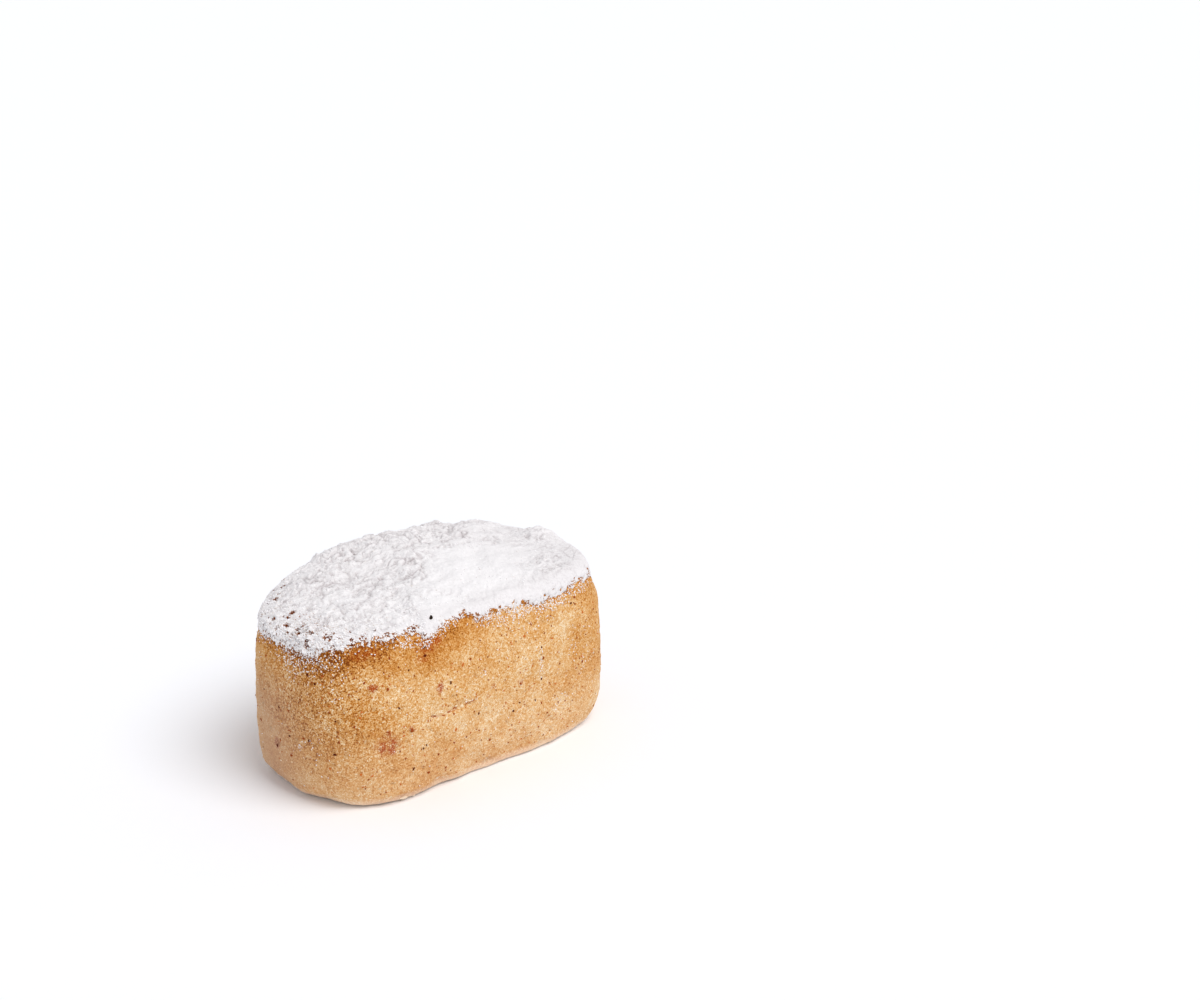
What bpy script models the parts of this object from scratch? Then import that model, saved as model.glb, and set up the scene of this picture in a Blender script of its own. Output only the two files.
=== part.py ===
# A whole polvoron: an oval block of pressed, crumbly shortbread, dusted on top with icing sugar.
# Two pieces: the dough, and the cap of sugar that lies on its top and runs a little way down its sides.
# Metres, +Z up. It stands on its flat base with its length along X, and the flatter long side faces -Y.
import math
from bisect import bisect_right

import bmesh
import bpy
from mathutils import Vector, noise

MM = 0.001

# Plan of the dough: an oval at its widest level, squarer along the front (-Y) than along the back.
LENGTH = 50.0 * MM
FRONT_HALF_WIDTH = 17.1 * MM
BACK_HALF_WIDTH = 15.65 * MM
FRONT_SQUARENESS = 3.85
BACK_SQUARENESS = 2.05
END_SPREAD = 0.025

# Section of the dough: sides that swell a little at mid-height, a soft upper edge and a rounded foot.
HEIGHT = 24.0 * MM
SWELL_HEIGHT = 0.53 * HEIGHT
TOP_DRAW = 1.55 * MM
BASE_DRAW = 1.05 * MM
RIM_RADIUS = 1.5 * MM
FOOT_RADIUS = 1.85 * MM

# The press leaves the top shifted over the base, and a little higher at the +X end and at the back.
TOP_SHIFT = Vector((0.6 * MM, 0.03 * MM, 0.0))
END_RISE = 0.47 * MM
BACK_RISE = 0.48 * MM

# Unevenness of the pressed crumb: (height, spacing) of each size of bump.
DOUGH_BUMPS = ((0.30 * MM, 13.0 * MM), (0.20 * MM, 5.0 * MM), (0.12 * MM, 2.6 * MM))
SUGAR_BUMPS = ((0.50 * MM, 7.0 * MM), (0.65 * MM, 3.4 * MM))
FOOT_FADE = 1.2 * MM
BROAD_SEED = 5
FINE_SEED = 6
SUGAR_SEED = 11

# Hollows broken out of the side: degrees round the plan, height, width, tallness and depth.
CHIPS = (
    (-135, 0.9 * MM, 3.2 * MM, 1.8 * MM, 0.45 * MM),
    (-121, 1.3 * MM, 4.2 * MM, 2.2 * MM, 0.55 * MM),
    (-93, 1.1 * MM, 5.0 * MM, 2.0 * MM, 0.50 * MM),
    (-62, 0.8 * MM, 3.4 * MM, 1.8 * MM, 0.40 * MM),
    (-18, 1.1 * MM, 4.0 * MM, 2.2 * MM, 0.50 * MM),
    (38, 0.9 * MM, 4.4 * MM, 2.0 * MM, 0.45 * MM),
    (88, 1.2 * MM, 4.0 * MM, 2.2 * MM, 0.50 * MM),
    (142, 0.9 * MM, 3.6 * MM, 2.0 * MM, 0.45 * MM),
    (-113, 11.6 * MM, 4.6 * MM, 2.0 * MM, 0.30 * MM),
    (-178, 7.3 * MM, 2.6 * MM, 2.0 * MM, 0.35 * MM),
    (-139, 9.7 * MM, 3.0 * MM, 2.6 * MM, 0.25 * MM),
    (112, 13.5 * MM, 4.2 * MM, 2.2 * MM, 0.30 * MM),
)

# The sugar: a thin cap, thicker towards the middle of the top and thin where it clings to the sides.
GAP = 0.3 * MM
SUGAR_AT_RIM = 0.50 * MM
SUGAR_CROWN = 0.95 * MM
SUGAR_AT_EDGE = 0.30 * MM
SUGAR_THINNEST = 0.25 * MM
EDGE_FADE = 2.5 * MM
CLUMPS_AT_EDGE = 0.35

# How far below the top the sugar reaches, at degrees round the plan from +X.
SUGAR_DROPS = (
    (-171, 2.6 * MM), (-160, 2.4 * MM), (-150, 1.2 * MM), (-141, 0.8 * MM), (-132, 0.6 * MM),
    (-126, 1.6 * MM), (-118, 0.9 * MM), (-108, 0.5 * MM), (-98, 1.2 * MM), (-78, 1.4 * MM),
    (-62, 2.2 * MM), (-45, 1.8 * MM), (-32, 2.6 * MM), (-8, 2.9 * MM), (16, 1.7 * MM),
    (40, 2.4 * MM), (66, 1.2 * MM), (90, 1.9 * MM), (118, 1.1 * MM), (142, 2.2 * MM), (168, 3.1 * MM),
)
EDGE_RAG = 0.45 * MM
EDGE_RAG_SPACING = 2.6 * MM
LEAST_DROP = 0.3 * MM

# Fineness of the meshes.
STEPS_ROUND = 96
WALL_STEPS = 13
ROUNDING_STEPS = 3
BASE_RINGS = 2
DOUGH_TOP_RINGS = 5
SUGAR_TOP_RINGS = 10
SUGAR_SIDE_STEPS = 4
NORMAL_STEP = 0.2 * MM
MERGE_DISTANCE = 1e-5

# Colours as linear light.
DOUGH_COLOUR = (0.62, 0.38, 0.17)
SUGAR_COLOUR = (0.93, 0.92, 0.93)

# The lengths met by a line down the side: rounded upper edge, wall, rounded foot.
RIM_ARC = RIM_RADIUS * math.pi / 2
FOOT_ARC = FOOT_RADIUS * math.pi / 2
WALL_HEIGHT = HEIGHT - RIM_RADIUS - FOOT_RADIUS
SIDE_LENGTH = RIM_ARC + WALL_HEIGHT + FOOT_ARC


def smooth(share):
    """An even start and stop between 0 and 1."""
    share = min(max(share, 0.0), 1.0)
    return share * share * (3 - 2 * share)


def bumps(point, sizes, seed):
    """Sum of soft noise, each size with its own height and spacing."""
    return sum(height * noise.noise(point / spacing + Vector((seed, -seed, index)))
               for index, (height, spacing) in enumerate(sizes))


def plan_radius(angle, inset):
    """Distance from the axis to the side, in one direction, for the oval drawn in by inset."""
    across, along = math.sin(angle), math.cos(angle)
    back = across > 0
    half_width = (BACK_HALF_WIDTH if back else FRONT_HALF_WIDTH) - inset
    power = BACK_SQUARENESS if back else FRONT_SQUARENESS
    reach = (abs(along) / (LENGTH / 2 - inset)) ** power + (abs(across) / half_width) ** power
    return reach ** (-1 / power)


def wall_draw(height):
    """How far the side is drawn in from its widest level."""
    if height > SWELL_HEIGHT:
        return TOP_DRAW * ((height - SWELL_HEIGHT) / (HEIGHT - SWELL_HEIGHT)) ** 2
    return BASE_DRAW * ((SWELL_HEIGHT - height) / SWELL_HEIGHT) ** 2


def side_section(down):
    """Height and inset of the side, a given length down from the flat top."""
    if down < RIM_ARC:
        turn = down / RIM_RADIUS
        height = HEIGHT - RIM_RADIUS * (1 - math.cos(turn))
        rounding = RIM_RADIUS * (1 - math.sin(turn))
    elif down < RIM_ARC + WALL_HEIGHT:
        height = HEIGHT - RIM_RADIUS - (down - RIM_ARC)
        rounding = 0.0
    else:
        turn = min((down - RIM_ARC - WALL_HEIGHT) / FOOT_RADIUS, math.pi / 2)
        height = FOOT_RADIUS * (1 - math.sin(turn))
        rounding = FOOT_RADIUS * (1 - math.cos(turn))
    return height, wall_draw(height) + rounding


def top_radius(angle):
    """Distance from the axis to where the flat top turns into the rounded upper edge."""
    return plan_radius(angle, side_section(0)[1])


def lean(point):
    """The pressed shape's small shift and tilt, none at the base."""
    share = point.z / HEIGHT
    rise = END_RISE * point.x / (LENGTH / 2) + BACK_RISE * point.y / FRONT_HALF_WIDTH
    return Vector((point.x + TOP_SHIFT.x * share,
                   point.y * (1 + END_SPREAD * point.x / (LENGTH / 2)) + TOP_SHIFT.y * share,
                   point.z + rise * share))


def smooth_point(angle, reach):
    """A point of the smooth dough, reach along a line from the middle of the top, out and down the side."""
    top = top_radius(angle)
    if reach < top:
        radius, height = reach, HEIGHT
    else:
        height, inset = side_section(reach - top)
        radius = plan_radius(angle, inset)
    return lean(Vector((radius * math.cos(angle), radius * math.sin(angle), height)))


def outward(angle, reach):
    """Direction out of the smooth dough, from its neighbours a short step away."""
    radius = max(reach, 2 * NORMAL_STEP)
    turn = NORMAL_STEP / radius
    down = smooth_point(angle, radius + NORMAL_STEP) - smooth_point(angle, radius - NORMAL_STEP)
    sideways = smooth_point(angle + turn, radius) - smooth_point(angle - turn, radius)
    return down.cross(sideways).normalized()


def chip_depth(angle, height):
    """Depth of the hollows at one place on the side."""
    depth = 0.0
    for degrees, middle, width, tallness, deepest in CHIPS:
        turn = math.remainder(angle - math.radians(degrees), math.tau)
        across = turn * plan_radius(angle, 0.0) / (width / 2)
        up = (height - middle) / (tallness / 2)
        depth += deepest * smooth(1 - math.hypot(across, up))
    return depth


def dough_point(angle, reach):
    """A point of the uneven dough, and the direction out of it. Only broad bumps lie under the sugar."""
    point = smooth_point(angle, reach)
    out = outward(angle, reach)
    relief = bumps(point, DOUGH_BUMPS[:1], BROAD_SEED)
    beside = smooth((reach - top_radius(angle)) / RIM_ARC)
    relief += beside * (bumps(point, DOUGH_BUMPS[1:], FINE_SEED) - chip_depth(angle, point.z))
    return point + out * relief * smooth(point.z / FOOT_FADE), out


def sugar_drop(angle):
    """Height of the sugar's ragged edge below the top, in one direction."""
    degrees = math.degrees(angle)
    starts = [place for place, _ in SUGAR_DROPS]
    index = bisect_right(starts, degrees) - 1
    before, from_drop = SUGAR_DROPS[index]
    after, to_drop = SUGAR_DROPS[(index + 1) % len(SUGAR_DROPS)]
    share = ((degrees - before) % 360) / ((after - before) % 360)
    drop = from_drop + (to_drop - from_drop) * smooth(share)
    around = Vector((math.cos(angle), math.sin(angle), 0)) * (LENGTH / 2 / EDGE_RAG_SPACING)
    return max(drop + EDGE_RAG * noise.noise(around), LEAST_DROP)


def sugar_length_down(angle):
    """Length down the rounded upper edge and the side to the sugar's edge."""
    drop = sugar_drop(angle)
    if drop < RIM_RADIUS:
        return RIM_RADIUS * math.acos(1 - drop / RIM_RADIUS)
    return RIM_ARC + drop - RIM_RADIUS


def sugar_thickness(angle, reach, point):
    """Thickness of the sugar: crowned over the top, thinning towards its edge, with clumps."""
    top = top_radius(angle)
    crown = SUGAR_CROWN * max(1 - (reach / top) ** 2, 0.0)
    to_edge = smooth((top + sugar_length_down(angle) - reach) / EDGE_FADE)
    body = SUGAR_AT_EDGE + (SUGAR_AT_RIM + crown - SUGAR_AT_EDGE) * to_edge
    clumps = bumps(point, SUGAR_BUMPS, SUGAR_SEED) * (CLUMPS_AT_EDGE + (1 - CLUMPS_AT_EDGE) * to_edge)
    return max(body + clumps, SUGAR_THINNEST)


def spun_plate(outline):
    """A closed round plate, spun from half its section. Radius 0 to 1 becomes the top, 1 to 2 the side."""
    bm = bmesh.new()
    verts = [bm.verts.new((radius, 0, level)) for radius, level in outline]
    edges = [bm.edges.new(pair) for pair in zip(verts, verts[1:])]
    bmesh.ops.spin(bm, geom=verts + edges, cent=(0, 0, 0), axis=(0, 0, 1), angle=math.tau,
                   steps=STEPS_ROUND, use_merge=True)
    bmesh.ops.remove_doubles(bm, verts=bm.verts, dist=MERGE_DISTANCE)
    bmesh.ops.recalc_face_normals(bm, faces=bm.faces)
    return bm


def reach_on_plate(angle, radius, side_length):
    """Length from the middle of the top that a radius on the flat plate stands for."""
    return top_radius(angle) * min(radius, 1.0) + side_length * max(radius - 1.0, 0.0)


def shape_dough():
    """The plate's upper face becomes the top and the side, its lower face the flat base."""
    downs = [RIM_ARC * step / ROUNDING_STEPS for step in range(ROUNDING_STEPS + 1)]
    downs += [RIM_ARC + WALL_HEIGHT * step / WALL_STEPS for step in range(1, WALL_STEPS + 1)]
    downs += [SIDE_LENGTH - FOOT_ARC * (1 - step / ROUNDING_STEPS) for step in range(1, ROUNDING_STEPS + 1)]
    outline = [(ring / DOUGH_TOP_RINGS, 1.0) for ring in range(DOUGH_TOP_RINGS)]
    outline += [(1 + down / SIDE_LENGTH, 1.0) for down in downs]
    outline += [(2 * (1 - ring / BASE_RINGS), 0.0) for ring in range(1, BASE_RINGS + 1)]
    bm = spun_plate(outline)
    for vert in bm.verts:
        angle = math.atan2(vert.co.y, vert.co.x)
        radius = math.hypot(vert.co.x, vert.co.y)
        if vert.co.z > 0.5:
            vert.co, _ = dough_point(angle, reach_on_plate(angle, radius, SIDE_LENGTH))
        else:
            radius *= plan_radius(angle, side_section(SIDE_LENGTH)[1]) / 2
            vert.co = lean(Vector((radius * math.cos(angle), radius * math.sin(angle), 0)))
    return bm


def shape_sugar():
    """The plate's upper face becomes the sugar's, its lower face the one that lies over the dough."""
    rings = [ring / SUGAR_TOP_RINGS for ring in range(SUGAR_TOP_RINGS)]
    rings += [1 + step / SUGAR_SIDE_STEPS for step in range(SUGAR_SIDE_STEPS + 1)]
    under = [ring / DOUGH_TOP_RINGS for ring in range(DOUGH_TOP_RINGS)] + rings[SUGAR_TOP_RINGS:]
    bm = spun_plate([(radius, 1.0) for radius in rings] + [(radius, 0.0) for radius in reversed(under)])
    for vert in bm.verts:
        angle = math.atan2(vert.co.y, vert.co.x)
        reach = reach_on_plate(angle, math.hypot(vert.co.x, vert.co.y), sugar_length_down(angle))
        on_dough, out = dough_point(angle, reach)
        lift = GAP
        if vert.co.z > 0.5:
            lift += sugar_thickness(angle, reach, on_dough)
        vert.co = on_dough + out * lift
    return bm


def make_material(name, colour, roughness):
    material = bpy.data.materials.new(name)
    material.use_nodes = True
    surface = material.node_tree.nodes["Principled BSDF"]
    surface.inputs["Base Color"].default_value = (*colour, 1)
    surface.inputs["Roughness"].default_value = roughness
    surface.inputs["Metallic"].default_value = 0.0
    return material


def make_object(name, bm, material, collection):
    mesh = bpy.data.meshes.new(name)
    bm.to_mesh(mesh)
    bm.free()
    mesh.materials.append(material)
    mesh.shade_smooth()
    piece = bpy.data.objects.new(name, mesh)
    collection.objects.link(piece)
    return piece


def centre_on_base(pieces):
    """Moves the pieces together so that the origin is below the middle of their common box."""
    corners = [vert.co for piece in pieces for vert in piece.data.vertices]
    middle = Vector([(min(axis) + max(axis)) / 2 for axis in zip(*corners)])
    for piece in pieces:
        for vert in piece.data.vertices:
            vert.co.x -= middle.x
            vert.co.y -= middle.y


def build():
    for item in list(bpy.data.objects):
        bpy.data.objects.remove(item, do_unlink=True)
    collection = bpy.data.collections.new("polvoron")
    bpy.context.scene.collection.children.link(collection)
    baked_dough = make_material("baked_dough", DOUGH_COLOUR, 0.8)
    icing_sugar = make_material("icing_sugar", SUGAR_COLOUR, 0.9)
    centre_on_base([
        make_object("dough", shape_dough(), baked_dough, collection),
        make_object("sugar_cap", shape_sugar(), icing_sugar, collection),
    ])


build()
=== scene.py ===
# A polvoron: a pressed block of baked crumb under sifted icing sugar, on a pale floor.
import math
import random
from bisect import bisect_right

import bmesh
import bpy
from mathutils import Matrix, Vector, noise
from mathutils.kdtree import KDTree


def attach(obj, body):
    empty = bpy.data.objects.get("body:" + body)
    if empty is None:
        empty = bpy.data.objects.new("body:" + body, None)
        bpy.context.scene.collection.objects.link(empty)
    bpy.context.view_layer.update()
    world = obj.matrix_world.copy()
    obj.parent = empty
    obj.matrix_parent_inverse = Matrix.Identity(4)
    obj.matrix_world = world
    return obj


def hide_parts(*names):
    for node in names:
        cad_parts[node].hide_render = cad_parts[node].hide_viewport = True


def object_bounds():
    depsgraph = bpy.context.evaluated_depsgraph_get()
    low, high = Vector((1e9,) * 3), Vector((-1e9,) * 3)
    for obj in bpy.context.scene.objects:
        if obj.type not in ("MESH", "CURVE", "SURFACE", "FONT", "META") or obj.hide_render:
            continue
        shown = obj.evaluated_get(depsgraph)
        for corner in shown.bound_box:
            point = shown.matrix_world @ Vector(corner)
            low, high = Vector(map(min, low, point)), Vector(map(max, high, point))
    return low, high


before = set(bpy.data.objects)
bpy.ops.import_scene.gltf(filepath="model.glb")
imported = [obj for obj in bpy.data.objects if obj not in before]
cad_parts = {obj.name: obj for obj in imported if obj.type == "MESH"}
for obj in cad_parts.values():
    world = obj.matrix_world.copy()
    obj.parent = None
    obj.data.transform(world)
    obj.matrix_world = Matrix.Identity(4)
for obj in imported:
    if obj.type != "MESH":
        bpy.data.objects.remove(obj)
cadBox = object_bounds()
mm = 0.001
draw = random.Random(4)
noise.seed_set(4)     # vector noise starts from the clock otherwise


# shape of the pressed block, in mm, as its solid has it
block = {
    "length": 50.0, "frontHalf": 17.1, "backHalf": 15.65,   # widest level of the plan
    "frontSquare": 3.85, "backSquare": 2.05, "endSpread": 0.025,
    "height": 24.0, "swellAt": 12.72, "topDraw": 1.55, "baseDraw": 1.05,
    "rimRound": 1.5, "footRound": 1.85,
    "topShift": (0.6, 0.03), "endRise": 0.47, "backRise": 0.48,
    "centre": (-0.28, 0.73),                                # middle of the plan from the origin
    # unevenness: a seed, then the height and spacing of each size
    "broadBumps": (5, (0.30, 13.0)), "fineBumps": (6, (0.20, 5.0), (0.12, 2.6)),
    "sandBumps": (41, (0.07, 1.3), (0.08, 0.6)), "footFade": 1.2,
    "pitSpacing": 0.95, "pitDepth": 0.2,
    # the rim is worn rounder at the ends: degrees, half width in degrees, depth
    "wornRim": ((172, 28, 0.85), (-4, 26, 0.32)), "wornAt": 0.6, "wornSpread": 1.9, "wornReach": 4.0,
    "slackEnd": 0.25,                                       # how far the left end falls in
    "frontFoot": 0.9,                                       # the front stands on a sharper foot than the ends
    "around": 620, "wallRows": 92, "rimRows": 10, "footRows": 12, "lidRings": 4, "baseRings": 3,
}
rimArc = block["rimRound"] * math.pi / 2
footArc = block["footRound"] * math.pi / 2
wallHeight = block["height"] - block["rimRound"] - block["footRound"]
sideLength = rimArc + wallHeight + footArc

# where the wall stands out or in from the even shape: degrees, height, reach in degrees, reach in height, mm
swells = (
    (-33, 3.8, 11, 3.0, 0.62), (-32, 10.0, 11, 4.0, 0.24), (-82, 0, 11, 3.2, -0.7), (-102, 0, 11, 3.4, -0.9),
    (-120, 0, 9, 3.4, -0.95), (-28.5, 22.0, 7, 2.4, -0.45), (-160, 0, 9, 2.4, -1.0), (177, 0, 12, 2.4, -1.2),
    (163, 14.5, 8, 6.5, -0.3),
)
# hollows broken out of the side: degrees round the plan, height, width, tallness, depth
chips = (
    (-135, 0.9, 3.2, 1.8, 0.45), (-121, 1.3, 4.2, 2.2, 0.55), (-93, 1.1, 5.0, 2.0, 0.50),
    (-62, 0.8, 3.4, 1.8, 0.40), (-18, 1.1, 4.0, 2.2, 0.50), (38, 0.9, 4.4, 2.0, 0.45),
    (88, 1.2, 4.0, 2.2, 0.50), (142, 0.9, 3.6, 2.0, 0.45), (-113, 11.6, 4.6, 2.0, 0.30),
    (-178, 7.3, 2.6, 2.0, 0.35), (-139, 9.7, 3.0, 2.6, 0.25), (112, 13.5, 4.2, 2.2, 0.30),
)
# cracks of the dry crumb: degrees from and to, height, depth
cracks = (
    (-126.0, -119.6, 11.3, 0.16), (-119.4, -112.4, 11.35, 0.26), (-110.8, -104.0, 11.5, 0.18),
    (-87, -81, 16.4, 0.10), (-60, -54, 9.2, 0.12), (60, 72, 9.4, 0.24), (128, 140, 15.2, 0.20),
    (-16, -4, 13.0, 0.22), (24, 33, 5.6, 0.18), (96, 103, 7.0, 0.20),
)


def smooth(share):
    share = min(max(share, 0.0), 1.0)
    return share * share * (3 - 2 * share)


def bell(degrees, middle, half):
    return math.exp(-(math.remainder(degrees - middle, 360) / half) ** 2)


def bumps(point, seed, *sizes):     # soft unevenness, from the height and spacing of each size
    return sum(height * noise.noise(point / spacing + Vector((seed, -seed, index)))
               for index, (height, spacing) in enumerate(sizes))


def planRadius(angle, inset):
    across, along = math.sin(angle), math.cos(angle)
    back = across > 0
    halfWidth = block["backHalf" if back else "frontHalf"] - inset
    power = block["backSquare" if back else "frontSquare"]
    reach = (abs(along) / (block["length"] / 2 - inset)) ** power + (abs(across) / halfWidth) ** power
    return reach ** (-1 / power)


def wallDraw(height):
    swellAt = block["swellAt"]
    if height > swellAt:
        return block["topDraw"] * ((height - swellAt) / (block["height"] - swellAt)) ** 2
    return block["baseDraw"] * ((swellAt - height) / swellAt) ** 2


def sideSection(down):
    rim, foot = block["rimRound"], block["footRound"]
    if down < rimArc:
        turn = down / rim
        height = block["height"] - rim * (1 - math.cos(turn))
        rounding = rim * (1 - math.sin(turn))
    elif down < rimArc + wallHeight:
        height = block["height"] - rim - (down - rimArc)
        rounding = 0.0
    else:
        turn = min((down - rimArc - wallHeight) / foot, math.pi / 2)
        height = foot * (1 - math.sin(turn))
        rounding = foot * (1 - math.cos(turn))
    return height, wallDraw(height) + rounding


def topRadius(angle):
    return planRadius(angle, sideSection(0)[1])


def footRounding(radius, height):
    return radius - math.sqrt(max(radius ** 2 - max(radius - height, 0.0) ** 2, 0.0))


def wallRadius(angle, height, inset):     # the plan at a height, with the front's foot and the swells
    degrees = math.degrees(angle)
    front = bell(degrees, -88, 44)
    inset -= front * (footRounding(block["footRound"], height) - footRounding(block["frontFoot"], height))
    for middle, level, turn, rise, amount in swells:
        inset -= amount * bell(degrees, middle, turn) * math.exp(-((height - level) / rise) ** 2)
    return planRadius(angle, inset)


def lean(point):
    share = point.z / block["height"]
    halfLength = block["length"] / 2
    rise = block["endRise"] * point.x / halfLength + block["backRise"] * point.y / block["frontHalf"]
    return Vector((point.x + block["topShift"][0] * share,
                   point.y * (1 + block["endSpread"] * point.x / halfLength) + block["topShift"][1] * share,
                   point.z + rise * share))


def smoothPoint(angle, reach):     # reach runs from the middle of the top, out and down the side
    top = topRadius(angle)
    if reach < top:
        radius, height = reach, block["height"]
    else:
        height, inset = sideSection(reach - top)
        radius = wallRadius(angle, height, inset)
    return lean(Vector((radius * math.cos(angle), radius * math.sin(angle), height)))


def chipDepth(angle, height):
    depth = 0.0
    for degrees, middle, width, tallness, deepest in chips:
        turn = math.remainder(angle - math.radians(degrees), math.tau)
        across = turn * planRadius(angle, 0.0) / (width / 2)
        up = (height - middle) / (tallness / 2)
        if abs(across) < 1 and abs(up) < 1:
            depth += deepest * smooth(1 - math.hypot(across, up))
    return depth


def blockRelief(point, angle, reach):     # the solid's own unevenness, and the rim worn rounder at the ends
    relief = bumps(point, *block["broadBumps"])
    down = reach - topRadius(angle)
    if down > 0:
        uneven = bumps(point, *block["fineBumps"]) - chipDepth(angle, point.z)
        relief += smooth(down / rimArc) * uneven
    degrees = math.degrees(angle)
    away = down - block["wornAt"]
    if abs(away) < block["wornReach"]:
        for middle, half, depth in block["wornRim"]:
            relief -= depth * bell(degrees, middle, half) * math.exp(-(away / block["wornSpread"]) ** 2)
    relief -= block["slackEnd"] * bell(degrees, 174, 18) * smooth(down / 4) * smooth((point.z - 3) / 6)
    return relief * smooth(point.z / block["footFade"])


def crackDepth(angle, point):
    degrees = math.degrees(angle)
    depth = 0.0
    for begin, end, height, deepest in cracks:
        share = (degrees - begin) / (end - begin)
        if 0 < share < 1 and abs(point.z - height) < 1:
            line = height + 0.3 * noise.noise(point / 1.1)
            broken = smooth(0.8 + 1.0 * noise.noise(point / 0.8 + Vector((2, 2, 5))))
            ends = smooth(5 * min(share, 1 - share)) * broken
            depth = max(depth, deepest * ends * smooth(1 - abs(point.z - line) / 0.3))
    return depth


def crumbRelief(point, angle):     # the sandy surface the press leaves, with small pits and dry cracks
    relief = bumps(point, *block["sandBumps"]) - crackDepth(angle, point)
    pit = noise.noise(point / block["pitSpacing"] + Vector((7, 3, 9)))
    relief -= block["pitDepth"] * smooth((pit - 0.45) / 0.2)
    return relief * smooth(point.z / 0.6)


def facing(angle, down):     # a place on the smooth skin, down the side from the rim, and the way out of it
    reach = topRadius(angle) + down
    point = smoothPoint(angle, reach)
    beside = smoothPoint(angle + 0.002, topRadius(angle + 0.002) + down) - point
    return point, (smoothPoint(angle, reach + 0.05) - point).cross(beside).normalized(), reach


def onBlock(angle, down):
    point, out, reach = facing(angle, down)
    return point + out * (blockRelief(point, angle, reach) + crumbRelief(point, angle)), out


def onSugar(angle, down):
    point, out, reach = facing(angle, down)
    thick = sugarThickness(point, angle, reach, edgeDown(angle))[0]
    return point + out * (blockRelief(point, angle, reach) + max(thick, 0.0)), out


def downTo(height):     # length down the side from the rim to a height
    if height > block["height"] - block["rimRound"]:
        return block["rimRound"] * math.acos(1 - (block["height"] - height) / block["rimRound"])
    if height > block["footRound"]:
        return rimArc + block["height"] - block["rimRound"] - height
    return sideLength - footArc + block["footRound"] * math.asin(1 - height / block["footRound"])


def intoPlace(bm):     # from mm about the plan's middle to metres, nowhere wider than the solids
    centre = Vector((block["centre"][0], block["centre"][1], 0))
    bmesh.ops.transform(bm, matrix=Matrix.Scale(mm, 4) @ Matrix.Translation(centre), verts=bm.verts)
    for vert in bm.verts:
        vert.co = [min(max(value, low), high) for value, low, high in zip(vert.co, *cadBox)]


def newLayers(bm, *names):     # values at the points, which the materials read by name
    return [bm.verts.layers.float.new(name) for name in names]


def asPiece(name, bm, material):
    mesh = bpy.data.meshes.new(name)
    bm.to_mesh(mesh)
    bm.free()
    mesh.materials.append(material)
    mesh.shade_smooth()
    piece = bpy.data.objects.new(name, mesh)
    bpy.context.scene.collection.objects.link(piece)
    print(name, len(mesh.polygons), "faces")
    return piece


# materials
def fromHex(code):     # sRGB hex to linear light
    parts = [int(code[i:i + 2], 16) / 255 for i in (1, 3, 5)]
    return tuple(c / 12.92 if c <= 0.04045 else ((c + 0.055) / 1.055) ** 2.4 for c in parts) + (1.0,)


def perMetre(sizeInMm):     # a pattern's scale from the real size of its grain
    return 1 / (sizeInMm * mm)


def addNode(tree, kind, sockets, output=0, **settings):     # a node with its links, read at one output
    node = tree.nodes.new("ShaderNode" + kind)
    for name, value in settings.items():
        setattr(node, name, value)
    for socket, value in sockets.items():
        if isinstance(value, bpy.types.NodeSocket):
            tree.links.new(value, node.inputs[socket])
        else:
            node.inputs[socket].default_value = value
    return node.outputs[output]


def newMaterial(name, roughness, specular):
    material = bpy.data.materials.new(name)
    material.use_nodes = True
    tree = material.node_tree
    surface = tree.nodes["Principled BSDF"]
    surface.inputs["Roughness"].default_value = roughness
    surface.inputs["Specular IOR Level"].default_value = specular
    return material, tree, surface


def layOver(tree, under, code, amount, span=(0.0, 1.0), most=1.0):     # a colour that comes in over a span
    share = addNode(tree, "MapRange", {0: amount, 1: span[0], 2: span[1], 3: 0.0, 4: most})
    return addNode(tree, "Mix", {0: share, 6: under, 7: fromHex(code)}, output=2, data_type="RGBA")


def alongTone(tree, tone, first, *steps):     # from the first colour through others, each full at its tone
    colour, low = fromHex(first), 0.0
    for high, code in steps:
        colour = layOver(tree, colour, code, tone, (low, high))
        low = high
    return colour


def spots(tree, place, cell, core, edge):     # a round spot in each cell, in mm, and the cell's own value
    away = addNode(tree, "TexVoronoi", {"Vector": place, "Scale": perMetre(cell)}, output="Distance")
    spot = addNode(tree, "MapRange", {0: away, 1: core / cell, 2: edge / cell, 3: 1.0, 4: 0.0})
    return spot, addNode(tree, "SeparateColor", {0: away.node.outputs["Color"]})


crumbLook = {
    # cream, pale, tan, toasted and scorched, each at its tone
    "tones": ("#F6E6CB", (0.22, "#E9C99B"), (0.48, "#D79F5C"), (0.76, "#B97226"), (1.0, "#75380E")),
    # the freckles' colour, the stains' (also the painted shade in the cracks) and the painted shade of the
    # left end
    "freckle": "#AE5A22", "stainAndCrackShade": "#A44002", "endShadeColour": "#B69581",
    # flour on the lower part, and on the foot flour with painted light, as if bounced up from the floor:
    # colour, heights where it starts and is full in mm, most
    "flourAndPaintedLight": (("#EAD0B8", 13, 3, 0.13), ("#FBE8D6", 1.6, 0.1, 0.72)),
    # uneven patterns: size in mm, detail and roughness
    "patch": (3.2, 2.0, 0.5), "grain": (0.48, 3.0, 0.7), "fine": (0.155, 1.0, 0.5),
    # cells, and the core and edge of the spot in each, mm
    "sand": 0.21, "granules": (0.36, 0.08, 0.24), "freckles": (0.8, 0.06, 0.16),
    "freckled": 0.35,                                       # share of the cells that hold a freckle
    "relief": ((0.7, 0.12), (0.6, 0.05)),                   # strength, and depth in mm, of grain and fine
}


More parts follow.
